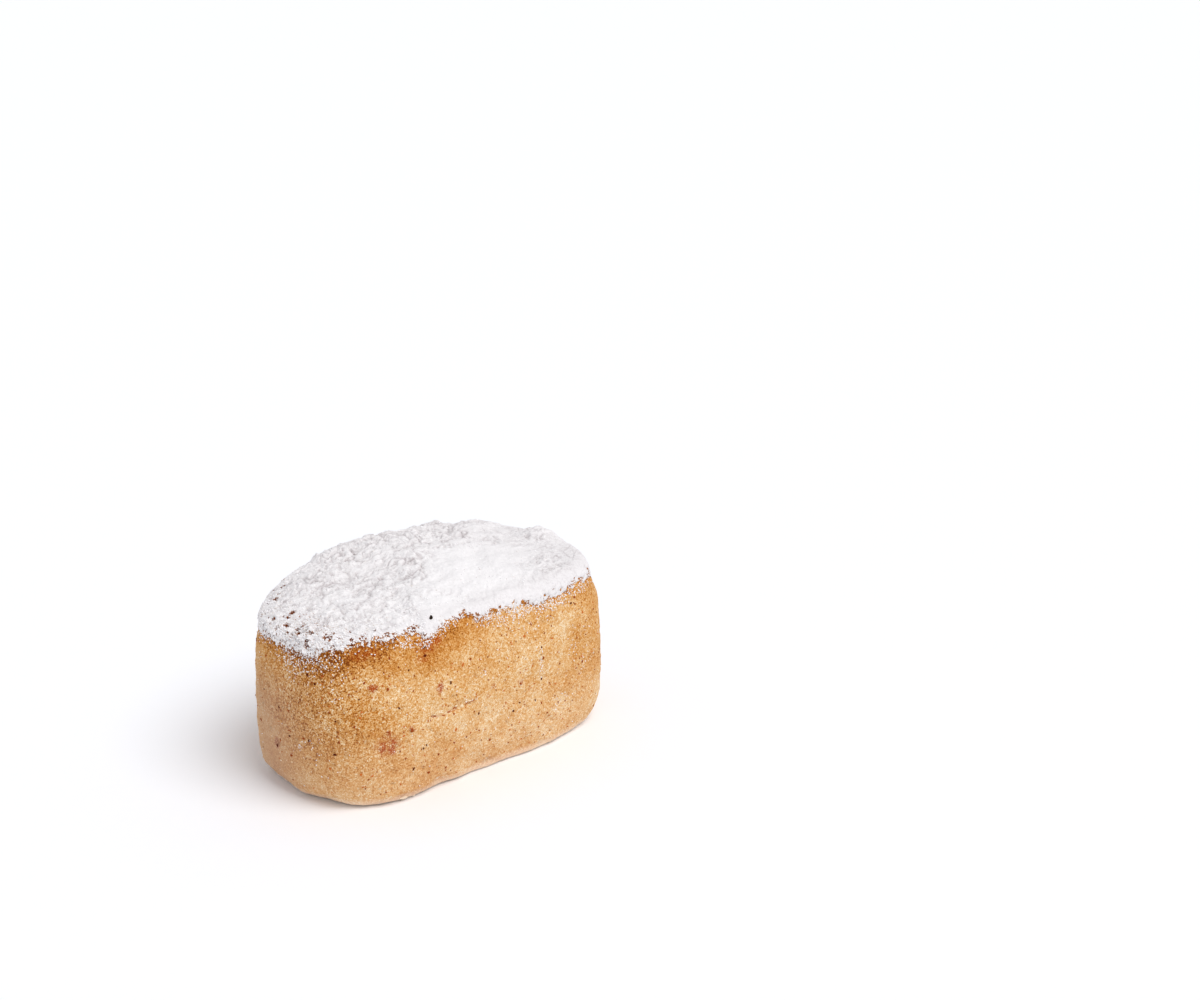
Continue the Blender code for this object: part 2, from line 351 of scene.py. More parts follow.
def bakedCrumb():     # pressed and baked nut crumb: dry, sandy, toasted unevenly
    look = crumbLook
    material, tree, surface = newMaterial("bakedCrumb", 0.88, 0.12)
    place = addNode(tree, "TexCoord", {}, output="Object")
    toast, stainAndCrackShade, paintedEndShade, coarse = [addNode(tree, "Attribute", {}, output="Fac", attribute_name=name)
                                   for name in ("toast", "stainAndCrackShade", "paintedEndShade", "coarse")]
    patch, grain, fine = [addNode(tree, "TexNoise", {"Vector": place, "Scale": perMetre(size),
                                                     "Detail": detail, "Roughness": roughness})
                          for size, detail, roughness in (look["patch"], look["grain"], look["fine"])]

    # granules of paler and darker crumb, round and a little apart
    granule, value = spots(tree, place, *look["granules"])
    lighter = addNode(tree, "MapRange", {0: value, 3: -0.12, 4: 0.12})
    swings = addNode(tree, "Math", {0: granule, 1: lighter}, operation="MULTIPLY")

    # how toasted each place is, with painted shade at the ends: the broad browning, uneven patches and single
    # grains
    sand = addNode(tree, "TexVoronoi", {"Vector": place, "Scale": perMetre(look["sand"])}, output="Color")
    single = addNode(tree, "SeparateColor", {0: sand})
    for pattern, low, high, swing in ((patch, 0.35, 0.65, 0.04), (grain, 0.3, 0.7, 0.05),
                                      (single, 0.0, 1.0, 0.15), (fine, 0.3, 0.7, 0.19)):
        part = addNode(tree, "MapRange", {0: pattern, 1: low, 2: high, 3: -swing, 4: swing}, clamp=False)
        swings = addNode(tree, "Math", {0: swings, 1: part}, operation="ADD")
    coarser = addNode(tree, "MapRange", {0: coarse, 3: 1.0, 4: 1.75})
    swings = addNode(tree, "Math", {0: swings, 1: coarser}, operation="MULTIPLY")
    toasted = addNode(tree, "Math", {0: toast, 1: swings}, operation="ADD")
    colour = alongTone(tree, toasted, *look["tones"])

    # freckles of nut skin in a third of the cells
    spot, value = spots(tree, place, *look["freckles"])
    chosen = addNode(tree, "Math", {0: value, 1: look["freckled"]}, operation="LESS_THAN")
    freckles = addNode(tree, "Math", {0: spot, 1: chosen}, operation="MULTIPLY")
    colour = layOver(tree, colour, look["freckle"], freckles, most=0.55)

    # stains where butter has browned through, grain by grain, and painted shade in the cracks
    grainy = addNode(tree, "MapRange", {0: fine, 1: 0.35, 2: 0.65, 3: 0.45, 4: 1.55}, clamp=False)
    stained = addNode(tree, "Math", {0: stainAndCrackShade, 1: grainy}, operation="MULTIPLY")
    colour = layOver(tree, colour, look["stainAndCrackShade"], stained, (0.2, 0.95), 0.95)

    # painted shade darkens the left end, flour pales the lower part, and flour with painted light pales the
    # foot
    height = addNode(tree, "SeparateXYZ", {0: place}, output="Z")
    colour = layOver(tree, colour, look["endShadeColour"], paintedEndShade)
    for code, start, full, most in look["flourAndPaintedLight"]:
        colour = layOver(tree, colour, code, height, (start * mm, full * mm), most)
    tree.links.new(colour, surface.inputs["Base Color"])

    relief = {}
    for pattern, (strength, depth) in zip((grain, fine), look["relief"]):
        bump = {"Height": pattern, "Strength": strength, "Distance": depth * mm}
        relief = {"Normal": addNode(tree, "Bump", {**bump, **relief})}
    tree.links.new(relief["Normal"], surface.inputs["Normal"])
    return material


sugarLook = {
    # the white, the painted shade, the crumb where it shows through, and the pits, painted darker for the
    # shade in them
    "white": "#FBF8F8", "paintedShade": "#978789", "showing": "#9A5C22", "pit": "#6A2E08",
    # size in mm, detail and roughness; the powder's own grain is too fine to show, so it is drawn this coarse
    "powder": (0.34, 4.0, 0.75), "gap": (0.2, 1.0, 0.5),
    "relief": (0.9, 0.2),                                   # strength, and depth in mm
}


def siftedSugar():     # icing sugar as it falls from a sieve: soft matt white, never quite smooth
    look = sugarLook
    material, tree, surface = newMaterial("siftedSugar", 0.95, 0.2)
    place = addNode(tree, "TexCoord", {}, output="Object")
    bare, paintedShade, busy, pit = [addNode(tree, "Attribute", {}, output="Fac", attribute_name=name)
                             for name in ("bare", "paintedShade", "busy", "pit")]
    powder, gap = [addNode(tree, "TexNoise", {"Vector": place, "Scale": perMetre(size), "Detail": detail,
                                              "Roughness": roughness})
                   for size, detail, roughness in (look["powder"], look["gap"])]
    # painted shade: what sugarThickness lays in the folds and where the light falls less, and more between
    # the grains
    hollowShade = addNode(tree, "MapRange", {0: powder, 1: 0.50, 2: 0.36, 3: 0.0, 4: 0.32})
    hollowShade = addNode(tree, "Math", {0: hollowShade, 1: busy}, operation="MULTIPLY")
    shade = addNode(tree, "Math", {0: paintedShade, 1: hollowShade}, operation="ADD")
    colour = layOver(tree, fromHex(look["white"]), look["paintedShade"], shade, (0.0, 1.25))
    # the crumb shows between the grains where the powder is thin, and in the pits, painted darker than the
    # crumb for the shade down in them
    showing = addNode(tree, "Math", {0: gap, 1: bare}, operation="ADD")
    colour = layOver(tree, colour, look["showing"], showing, (1.0, 1.06), 0.95)
    ragged = addNode(tree, "MapRange", {0: gap, 1: 0.3, 2: 0.7, 3: -0.35, 4: 0.35})
    ragged = addNode(tree, "Math", {0: pit, 1: ragged}, operation="ADD")
    colour = layOver(tree, colour, look["pit"], ragged, (0.42, 0.6))
    tree.links.new(colour, surface.inputs["Base Color"])
    strength, depth = look["relief"]
    relief = addNode(tree, "Bump", {"Height": powder, "Strength": strength, "Distance": depth * mm})
    tree.links.new(relief, surface.inputs["Normal"])
    return material


def toned(name, roughness, specular, *colours):     # matt, each bit with a tone of its own
    material, tree, surface = newMaterial(name, roughness, specular)
    tone = addNode(tree, "Attribute", {}, output="Fac", attribute_name="tone")
    tree.links.new(alongTone(tree, tone, *colours), surface.inputs["Base Color"])
    return material


def looseSugar():     # single grains and clots of icing sugar, some of them greyed or buttery
    return toned("looseSugar", 0.9, 0.2, "#FCFAFB", (0.45, "#EBE4DF"), (1.0, "#D6B48C"))


def nutSkin():     # flecks of skin in the crumb, from near black to orange
    return toned("nutSkin", 0.9, 0.05, "#2B211A", (0.12, "#5A1E0C"), (0.5, "#98471C"), (1.0, "#C86E30"))


# where the sugar ends: degrees round the plan, mm below the top, and how the line wanders
sugarEdge = (
    (-179, 2.7), (-171, 2.8), (-162, 2.8), (-156, 1.5), (-151, 1.2), (-147, 0.5), (-140, 0.8), (-134, 0.4),
    (-130, 0.5), (-126, 1.8), (-120, 0.9), (-108, 0.3), (-99, 1.3), (-89, 1.1), (-77, 1.4), (-63, 2.2),
    (-55, 2.1), (-44, 1.7), (-33, 2.1), (-8, 2.2), (16, 1.6), (40, 2.4), (66, 1.2), (90, 1.9), (118, 1.1),
    (142, 2.2), (165, 3.1),
)
edgePlaces = [degrees for degrees, drop in sugarEdge]
edgeBumps = (31, (0.55, 1.5), (0.45, 0.7))


def between(table, places, degrees):     # a table round the plan, read softly between its places
    index = bisect_right(places, degrees) - 1
    before, low = table[index]
    after, high = table[(index + 1) % len(table)]
    return low + (high - low) * smooth(((degrees - before) % 360) / ((after - before) % 360))


def edgeDown(angle):     # length down the side to the sugar's edge
    return downTo(block["height"] - between(sugarEdge, edgePlaces, math.degrees(angle)))


def edgeWander(point):     # the ragged line where the sugar stops
    return bumps(point, *edgeBumps)


# the crumb

# how toasted it is, from 0 to 1: all over, in its lower part, in a line right under the sugar, and in a band
# below that, which is deepest left of the middle of the front
toasting = {
    "even": 0.38, "drift": 0.10,
    "low": (9, 4, 0.02),                                    # height where it starts, where it is full, amount
    "line": 0.24, "lineReach": 0.8,
    "band": 0.10, "bandMiddle": 0.17, "bandLeft": 0.20, "bandReach": 3.5, "bandMore": 4.5,
    "paleSpot": (-137, 9, 14.3, 2.4, 0.05),                 # degrees, half width, height, half tallness
}
# where it is browner or paler: degrees, half width, the heights where that starts and is full, amount; the
# zones at -178 and -38 are painted shade, for the left end turned from the lamp and the right end as if
# shaded from beside it
toastAndShadeZones = (
    (-156, 20, 2, 11, 0.18), (-116, 16, 15, 19, 0.06), (-38, 14, 4, 9, 0.10), (-178, 20, -1, 0, 0.08),
    (-131, 13, 9, 4, 0.12), (-154, 9, 9, 4, -0.05), (-42, 14, 9, 4, -0.07), (-178, 9, 9, 4, 0.09),
)
# stains of browned butter: degrees, height, half width, half tallness, strength
marks = (
    (-139.0, 9.0, 1.7, 1.8, 0.5), (-140.5, 8.5, 0.34, 0.75, 1.0), (-140.1, 9.2, 0.3, 0.4, 1.0),
    (-137.7, 8.3, 0.42, 0.8, 1.1), (-137.3, 9.3, 0.3, 0.5, 1.0), (-138.6, 10.6, 0.45, 0.35, 0.8),
    (-142.8, 17.0, 0.55, 0.45, 1.2), (-145.8, 21.3, 2.2, 1.1, 0.5), (-125.7, 20.6, 1.6, 1.0, 0.6),
    (-121.7, 21.0, 0.8, 0.6, 0.8), (-127.5, 19.4, 0.9, 0.6, 0.6), (-179.0, 7.1, 0.3, 0.5, 1.0),
    (-177.6, 6.6, 0.3, 0.4, 1.0), (-121.5, 15.0, 0.45, 0.8, 0.9), (-94.5, 12.5, 0.6, 0.5, 0.5),
    (-97.5, 11.4, 0.5, 0.4, 0.4), (-78, 11.6, 0.6, 0.5, 0.6), (-170.5, 6.4, 0.4, 0.5, 0.7),
    (-131.8, 10.7, 0.4, 0.4, 0.7), (70, 15.0, 1.3, 1.1, 0.8), (120, 8.0, 1.0, 0.9, 0.7),
    (20, 17.0, 0.8, 0.7, 0.7), (-20, 9.0, 0.7, 0.6, 0.5), (152, 18.0, 1.6, 0.9, 0.5),
    (45, 6.0, 0.5, 0.6, 0.8), (100, 18.5, 0.6, 0.5, 0.7), (-8, 16.5, 0.5, 0.5, 0.7),
)


def browning(degrees, point, beyond):     # beyond is the length below the sugar's edge
    middle = bell(degrees, -127, 28)
    band = toasting["band"] + toasting["bandMiddle"] * middle + toasting["bandLeft"] * bell(degrees, -165, 15)
    reach = toasting["bandReach"] + toasting["bandMore"] * middle
    broken = smooth(0.65 + 1.5 * noise.noise(point / 1.4))
    amount = toasting["even"] + band * smooth(1 - beyond / reach)
    amount += toasting["line"] * broken * smooth(1 - (beyond - edgeWander(point)) / toasting["lineReach"])
    for spacing, offset in ((8.5, (2, 5, 1)), (3.4, (4, 1, 6))):
        amount += toasting["drift"] * noise.noise(point / spacing + Vector(offset))
    start, full, more = toasting["low"]
    amount += more * smooth((point.z - start) / (full - start))
    # the zones, some of them painted shade at the ends
    for zone, half, start, full, more in toastAndShadeZones:
        amount += more * bell(degrees, zone, half) * smooth((point.z - start) / (full - start))
    turn, half, level, rise, less = toasting["paleSpot"]
    return amount - less * bell(degrees, turn, half) * math.exp(-((point.z - level) / rise) ** 2)


def stainingAndCrackShade(angle, point):
    amount = 4.0 * crackDepth(angle, point)     # painted shade in the cracks, along with their browner crumb: a crack of 0.25 mm is as dark as the darkest mark
    for degrees, height, halfWidth, halfTall, strength in marks:
        turn = math.remainder(angle - math.radians(degrees), math.tau)
        across = turn * planRadius(angle, 0.0) / halfWidth
        up = (point.z - height) / halfTall
        if abs(across) < 2.2 and abs(up) < 2.2:
            wobble = 0.45 * noise.noise(point / 0.45 + Vector((9, 1, 4)))
            amount = max(amount, strength * smooth(1.2 - math.hypot(across, up) * (0.75 + wobble)))
    return amount


def makeDough(material):
    # an even profile is spun first: out over the top to radius 1, down the side to 2, back under the base
    rows = [rimArc * i / block["rimRows"] for i in range(block["rimRows"])]
    rows += [rimArc + wallHeight * i / block["wallRows"] for i in range(block["wallRows"])]
    rows += [sideLength - footArc * (1 - i / block["footRows"]) for i in range(block["footRows"] + 1)]
    outline = [(i / block["lidRings"], 1.0) for i in range(block["lidRings"])]
    outline += [(1 + down / sideLength, 1.0) for down in rows]
    outline += [(2 - 2 * i / block["baseRings"], 0.0) for i in range(1, block["baseRings"] + 1)]
    bm = bmesh.new()
    verts = [bm.verts.new((radius, 0, level)) for radius, level in outline]
    edges = [bm.edges.new(pair) for pair in zip(verts, verts[1:])]
    bmesh.ops.spin(bm, geom=verts + edges, cent=(0, 0, 0), axis=(0, 0, 1), angle=math.tau,
                   steps=block["around"], use_merge=True)
    bmesh.ops.remove_doubles(bm, verts=bm.verts, dist=1e-5)
    bmesh.ops.recalc_face_normals(bm, faces=bm.faces)
    toast, stainAndCrackShade, paintedEndShade, coarse = newLayers(bm, "toast", "stainAndCrackShade", "paintedEndShade", "coarse")
    places = []
    for vert in bm.verts:
        angle = math.atan2(vert.co.y, vert.co.x)
        radius = math.hypot(vert.co.x, vert.co.y)
        if vert.co.z > 0.5:
            reach = topRadius(angle) * min(radius, 1.0) + sideLength * max(radius - 1.0, 0.0)
            vert.co = smoothPoint(angle, reach)
        else:
            reach = None
            radius *= wallRadius(angle, 0.0, sideSection(sideLength)[1]) / 2
            vert.co = Vector((radius * math.cos(angle), radius * math.sin(angle), 0))
        places.append((angle, reach))
    bm.normal_update()
    for vert, (angle, reach) in zip(bm.verts, places):
        if reach is None:
            continue
        point = vert.co.copy()
        relief = blockRelief(point, angle, reach)
        down = reach - topRadius(angle)
        if down > 0:
            relief += crumbRelief(point, angle)
            degrees = math.degrees(angle)
            vert[toast] = browning(degrees, point, down - edgeDown(angle))
            vert[stainAndCrackShade] = stainingAndCrackShade(angle, point)
            vert[paintedEndShade] = 0.5 * bell(degrees, 177, 17) * smooth((20 - point.z) / 8)     # painted shade on the left end, which turns from the lamp
            vert[coarse] = bell(degrees, -161, 20) * smooth((point.z - 2) / 12)         # its sandy corner
        vert.co += vert.normal * relief
    intoPlace(bm)
    return asPiece("crumb_block", bm, material)


# the sugar
sugar = {
    "columns": 400, "rows": 236,                            # of the grid that is drawn round
    # thickness, mm
    "atRim": 0.46, "thinnerEnds": 0.3, "thickerBack": 0.6, "crown": 0.95, "film": 0.18, "least": 0.16,
    "apron": 2.0, "deepest": -0.4,                          # carried on past the edge, inside the crumb
    "drawnIn": (0.9, 0.88, 1.0),                            # its open edge, before it is closed
    "foldTurn": 26, "foldStretch": 1.9, "foldDepth": 0.38, "lumpRise": 0.14,
    # unevenness: a seed, then the height and spacing of each size
    "heaps": (11, (0.40, 7.0), (0.42, 3.4)), "lumps": (37, (0.21, 1.1), (0.11, 0.48)),
    "ragged": (3, (0.42, 0.5), (0.34, 0.28)),
    "smallPits": 34,
}
# where the powder lies calm: x, y and reach in mm
calmPlaces = (
    (4.0, -8.5, 7.0), (12.0, -4.5, 5.0), (-6.0, -13.0, 4.0), (-13.5, -12.8, 3.2), (17.5, 3.5, 3.6),
    (8.0, -1.5, 4.0),
)
# where it has slid into deeper folds: x, y, reach, and how deep
foldPlaces = (
    (-12.5, 4.0, 4.0, 1.0), (-8.5, -2.2, 4.0, 1.0), (-2.0, -1.0, 3.6, 1.0), (2.5, 3.2, 3.2, 0.6),
    (11.0, 7.0, 5.0, 0.9), (-16.5, -8.0, 4.0, 0.8), (15.5, 5.0, 4.5, 0.8), (14.5, -11.5, 3.2, 0.7),
    (0.5, 12.0, 5.0, 1.0), (-4.5, 10.0, 4.5, 0.9), (-10.4, -7.5, 3.2, 0.8), (18.5, 0.0, 4.0, 0.7),
    (8.0, 12.0, 4.5, 0.8), (1.9, -15.6, 1.6, 0.4),
)
# how far it stands over its even thickness round the rim: degrees, mm
rimSwell = (
    (-42, 0.0), (-36, -0.2), (-31, -0.5), (-27, -0.4), (-22, -0.1), (-18, -0.25), (-15, 0.15), (-10, 0.4),
    (-7, 0.85), (-4, 0.95), (0, 0.3), (2, 0.0), (5, -0.55), (9, -0.5), (13, -0.05), (17, 0.3), (24, 0.5),
    (28, 0.3), (32, -0.05), (35, -0.1), (39, 0.4), (44, 0.42), (48, 0.15), (56, -0.1), (61, 0.0), (66, 0.3),
    (70, 0.42), (75, 0.2), (84, 0.22), (92, 0.15), (98, -0.12), (102, 0.1), (108, 0.5), (117, 0.85),
    (121, 0.25), (126, -0.3), (131, -0.5), (140, -0.5), (149, -0.65), (152, -0.45), (157, -0.65),
    (161, -0.15), (166, 0.0),
)
swellPlaces = [degrees for degrees, swell in rimSwell]
# creases where it has cracked as it settled: strength, then x and y along each, mm
creases = (
    (1.0, -5.8, 7.1, -4.7, 7.7), (1.0, -3.4, 8.9, -3.8, 8.3, -3.7, 7.7, -3.2, 8.0),
    (0.8, -3.7, 11.3, -4.2, 9.8), (1.0, -0.5, 9.5, 0.1, 9.1, 0.8, 9.0), (0.8, 3.4, 10.4, 2.8, 9.0),
    (0.5, 5.5, 6.5, 2.7, 3.0, 0.9, 1.9, 0.1, 1.4), (1.0, 0.6, 0.4, 0.1, 0.6, -0.3, 0.4),
    (1.0, 0.6, -2.0, -0.6, -2.2, -1.7, -2.5, -2.7, -2.5, -3.2, -2.2, -3.7, -2.4),
    (0.6, -2.9, -0.7, -3.6, -1.4, -5.0, -4.2),
    (1.0, -4.6, 0.9, -6.1, -0.4, -7.2, -1.1, -8.8, -2.3, -9.7, -2.5, -11.0, -4.2),
    (0.9, -11.0, -4.2, -12.1, -4.6, -13.2, -5.2, -14.5, -6.1),
    (0.7, -8.8, -0.2, -10.0, -0.6, -11.3, -1.3, -12.2, -2.4), (0.8, -6.7, 3.7, -7.9, 2.4),
    (0.6, -2.5, 1.6, -1.4, 1.8), (0.5, -2.1, 3.7, -3.4, 2.5),
    (0.6, -9.1, -5.7, -10.2, -6.4, -10.5, -7.1, -12.6, -8.3, -13.2, -8.6), (0.9, -13.7, 1.9, -15.7, -0.4),
    (0.9, -9.4, 8.2, -10.8, 7.1), (0.5, -12.4, 5.1, -11.3, 6.3),
    (0.6, -14.9, 2.7, -14.3, 3.5, -13.5, 3.3, -12.3, 3.4), (1.0, -10.4, 4.9, -10.0, 4.6),
    (0.5, -8.3, 7.9, -9.2, 7.1, -10.2, 5.1), (0.5, -7.0, 7.2, -8.4, 5.4, -7.0, 6.1),
    (0.8, -17.0, -0.6, -18.2, -0.8, -19.3, -1.5), (0.8, -18.8, -2.1, -19.8, -4.7, -19.9, -5.3),
    (1.0, -19.0, -5.2, -19.5, -6.1, -20.5, -6.8), (0.5, -15.7, -7.8, -17.0, -8.4),
    (0.8, -15.2, -3.8, -14.6, -3.8), (0.6, -14.6, -5.9, -15.2, -6.9, -15.8, -8.3),
    (0.5, -16.1, -6.0, -16.8, -6.7), (0.4, -14.1, -11.5, -13.0, -10.6), (0.4, -17.0, 2.8, -16.1, 2.7),
    (0.9, -2.0, -4.3, -2.4, -4.7), (0.4, -18.0, 3.8, -16.9, 4.0), (0.3, -7.9, 3.3, -6.9, 2.9),
    (0.4, -6.4, 0.9, -8.1, 0.0), (0.3, -10.7, 2.6, -9.2, 2.8), (0.3, -13.9, 5.1, -15.1, 4.2),
    (0.4, 2.9, 7.3, 4.6, 7.9), (0.4, -2.2, 8.4, -2.6, 9.8), (0.6, 7.7, 10.3, 6.3, 9.4),
    (0.3, -14.2, -7.5, -12.6, -6.6), (1.0, 10.6, 7.3, 11.1, 6.8), (0.8, 9.2, 4.6, 8.7, 3.4),
    (0.8, 7.5, 3.0, 6.4, 2.1), (0.8, 9.0, 2.7, 8.0, 1.5), (0.8, 13.8, 5.0, 14.0, 4.5, 12.9, 3.6),
    (0.8, 19.9, -1.6, 19.3, -2.6), (0.5, 16.3, 1.3, 15.8, 0.6), (0.3, 15.9, -1.3, 17.3, -1.2, 17.5, -2.3),
    (0.3, 14.8, -3.3, 16.3, -3.7, 16.9, -4.1), (0.6, 14.1, -9.6, 15.5, -8.9, 16.6, -8.5),
    (0.6, 13.9, -9.9, 13.3, -10.5), (0.8, 11.9, -12.9, 11.8, -13.7), (0.6, 12.6, -13.5, 13.9, -12.9),
    (0.5, 15.3, -11.5, 16.5, -11.0), (0.5, 16.9, -12.4, 16.8, -13.3), (0.4, 14.7, -14.4, 16.0, -14.1),
    (0.8, -0.2, -1.7, 0.6, -2.1), (0.7, -1.0, -3.4, -1.7, -4.7), (0.3, 16.8, -7.7, 18.1, -8.0),
    (0.3, 14.8, -13.0, 16.6, -12.4), (0.4, 3.3, 1.2, 4.9, 1.4), (0.4, 3.1, 0.0, 5.0, 0.9),
    (0.3, 20.2, 0.8, 21.1, 0.4), (0.4, 6.7, 1.3, 8.2, 2.5),
)
creasePoints = []
for strength, *line in creases:
    for startX, startY, endX, endY in zip(line[0::2], line[1::2], line[2::2], line[3::2]):
        stepX, stepY = endX - startX, endY - startY
        count = max(int(math.hypot(stepX, stepY) / 0.12), 1)
        creasePoints += [(startX + stepX * i / count, startY + stepY * i / count, strength)
                         for i in range(count + 1)]
creaseTree = KDTree(len(creasePoints))
for index, (x, y, strength) in enumerate(creasePoints):
    creaseTree.insert((x, y, 0), index)
creaseTree.balance()
# pits through the thin sugar: x, y, z on the block and half width, mm
pits = [
    (-20.1, 0.2, 23.8, 0.26), (-18.5, 6.0, 23.8, 0.22), (-22.3, 1.8, 23.2, 0.20), (-22.4, -1.3, 23.2, 0.34),
    (-22.6, -1.0, 23.3, 0.24), (-22.3, -3.6, 23.2, 0.28), (-22.0, -3.9, 23.4, 0.20),
    (-23.1, -0.1, 22.5, 0.24), (-22.2, -5.9, 23.1, 0.28), (-22.0, -6.3, 23.2, 0.2), (-23.1, -3.3, 22.3, 0.22),
    (-21.4, -8.6, 23.1, 0.34), (-21.3, -8.9, 22.8, 0.30), (-21.2, -8.3, 23.4, 0.24),
    (-21.1, -9.0, 23.8, 0.20), (-23.1, -6.6, 21.7, 0.24), (-18.6, -12.3, 23.1, 0.26),
    (-15.8, -13.6, 23.1, 0.20), (-12.3, -14.4, 23.1, 0.28), (-16.1, -13.2, 23.8, 0.14),
    (-14.9, -2.1, 24.2, 0.14), (20.6, 5.8, 23.6, 0.28), (21.4, 4.0, 23.4, 0.24), (17.5, 9.6, 23.6, 0.26),
    (-13.5, 11.4, 23.6, 0.28), (-12.4, 12.2, 23.4, 0.22), (4.6, 14.4, 23.5, 0.26), (23.0, -5.0, 23.3, 0.24),
]
for index in range(sugar["smallPits"]):     # where the left end turns down
    angle = math.radians(draw.uniform(148, 216))
    down = draw.uniform(-0.6, 2.2)
    pits.append((*smoothPoint(angle, topRadius(angle) + down), draw.uniform(0.08, 0.18)))
pitTree = KDTree(len(pits))
for index, pit in enumerate(pits):
    pitTree.insert(pit[:3], index)
pitTree.balance()


def makeSugar(material):
    bm = bmesh.new()
    bmesh.ops.create_grid(bm, x_segments=sugar["columns"], y_segments=sugar["rows"], size=1.0)
    bare, paintedShade, busy, pit = newLayers(bm, "bare", "paintedShade", "busy", "pit")
    places = []
    for vert in bm.verts:
        x = vert.co.x * math.sqrt(1 - vert.co.y ** 2 / 2)     # the square grid drawn round
        y = vert.co.y * math.sqrt(1 - vert.co.x ** 2 / 2)
        angle = math.atan2(y, x)
        down = edgeDown(angle)
        reach = math.hypot(x, y) * (topRadius(angle) + down + sugar["apron"])
        vert.co = smoothPoint(angle, reach)
        places.append((angle, reach, down))
    bm.normal_update()
    for vert, (angle, reach, down) in zip(bm.verts, places):
        point = vert.co.copy()
        thick, vert[paintedShade], vert[busy], vert[pit], vert[bare] = sugarThickness(point, angle, reach, down)
        vert.co += vert.normal * (blockRelief(point, angle, reach) + max(thick, sugar["deepest"]))
    rim = [edge for edge in bm.edges if edge.is_boundary]
    grown = bmesh.ops.extrude_edge_only(bm, edges=rim)["geom"]
    inner = [item for item in grown if isinstance(item, bmesh.types.BMVert)]
    bmesh.ops.scale(bm, vec=sugar["drawnIn"], verts=inner)
    openEdge = [item for item in grown if isinstance(item, bmesh.types.BMEdge) and item.is_boundary]
    bmesh.ops.contextual_create(bm, geom=openEdge)
    bmesh.ops.recalc_face_normals(bm, faces=bm.faces)
    intoPlace(bm)
    return asPiece("sugar_dusting", bm, material)


def sugarThickness(point, angle, reach, down):     # and how shaded, busy, holed and bare it is there
    top = topRadius(angle)
    degrees = math.degrees(angle)
    inside = top + down - reach + edgeWander(point)            # mm inside the edge
    atRim = sugar["atRim"] - sugar["thinnerEnds"] * abs(math.cos(angle)) ** 3
    atRim += sugar["thickerBack"] * max(math.sin(angle), 0.0) ** 2
    thick = sugar["film"] + (atRim - sugar["film"]) * smooth((inside - 0.3) / 2.4)
    rim = math.exp(-((reach - top - 0.3) / 2.6) ** 2)
    thick += rim * between(rimSwell, swellPlaces, degrees)
    thick += sugar["crown"] * (1 - 0.35 * smooth((-point.x - 8) / 12)) * max(1 - (reach / top) ** 2, 0.0)
    # soft heaps, and creases and lumps where the powder has slid
    deeper = smooth((inside - 0.5) / 3)
    leftEnd = bell(degrees, -168, 34) * smooth((reach - top + 7) / 6)
    busy = min(foldedness(point) + 0.5 * leftEnd, 1.0)
    thick += deeper * bumps(point, *sugar["heaps"])
    crease, lump = folds(point)
    crease = max(0.75 * crease * busy, cracked(point)) * deeper
    thick += deeper * (0.25 + 0.75 * busy) * sugar["lumpRise"] * (lump - 0.5) - sugar["foldDepth"] * crease
    fine = bumps(point, *sugar["lumps"])
    thick += (0.44 + 0.47 * busy + 1.5 * leftEnd) * smooth(inside / 1.5 + 0.2) * fine
    thick = -softMin(-thick, -sugar["least"])
    back = smooth(0.5 + point.y / 9)
    # painted shade: in the creases and the hollows between lumps, more towards the back and the right end,
    # and on the left end, which turns from the lamp
    shade = max(0.9 * crease, (0.34 * busy + 0.1 * back + 0.4 * leftEnd) * smooth(-fine / 0.13 - 0.25))
    shade += 0.08 * smooth((point.x - 5) / 12) + 0.07 * back * busy
    # painted shade over the front rim, where it turns to the lamp
    shade += 0.16 * smooth((reach - top + 2.5) / 3) * max(-math.sin(angle), 0.0)
    edge = (0.5 - 0.24 * bell(degrees, -172, 26)) * inside + bumps(point, *sugar["ragged"])
    thick = softMin(thick, edge)
    place, index, away = pitTree.find(point)
    hole = smooth(1.85 - away / pits[index][3] - 1.3 * noise.noise(point / 0.26))
    thick += hole * (0.03 - max(thick, 0.03))
    thin = max(0.72 * smooth(1 - thick / 0.22), 0.39 * leftEnd, 0.62 * smooth(2.6 - away / pits[index][3]))
    return thick, shade, busy, hole, thin


def nearest(point, places):     # how near the closest of some places is, with its strength
    best = 0.0
    for x, y, reach, strength in places:
        away = math.hypot(point.x - x, point.y - y) / reach
        if away < 1.5:
            best = max(best, strength * smooth(1.5 - away))
    return best


def foldedness(point):     # how far the powder has slid here
    calm = nearest(point, [(*place, 1.0) for place in calmPlaces])
    return min(0.1 + 0.5 * (1 - calm) + 0.4 * nearest(point, foldPlaces), 1.0)


def cracked(point):     # how far a place lies in one of the measured creases
    wander = noise.noise_vector(point / 0.6 + Vector((3, 8, 2)))
    place, index, away = creaseTree.find((point.x + 0.4 * wander.x, point.y + 0.4 * wander.y, 0))
    broken = 0.45 + 0.55 * smooth(0.55 + 1.6 * noise.noise(point / 0.75 + Vector((4, 4, 1))))
    return creasePoints[index][2] * broken * smooth(1 - away / (0.3 + 0.16 * wander.z))


def winding(x, y, spacing, half, seed):     # lines of even width where a soft noise changes sign
    step = 0.08
    here = noise.noise(Vector((x, y, seed * spacing)) / spacing)
    slope = math.hypot(noise.noise(Vector((x + step, y, seed * spacing)) / spacing) - here,
                       noise.noise(Vector((x, y + step, seed * spacing)) / spacing) - here) / step
    return smooth(1 - abs(here) / (half * slope + 1e-6))


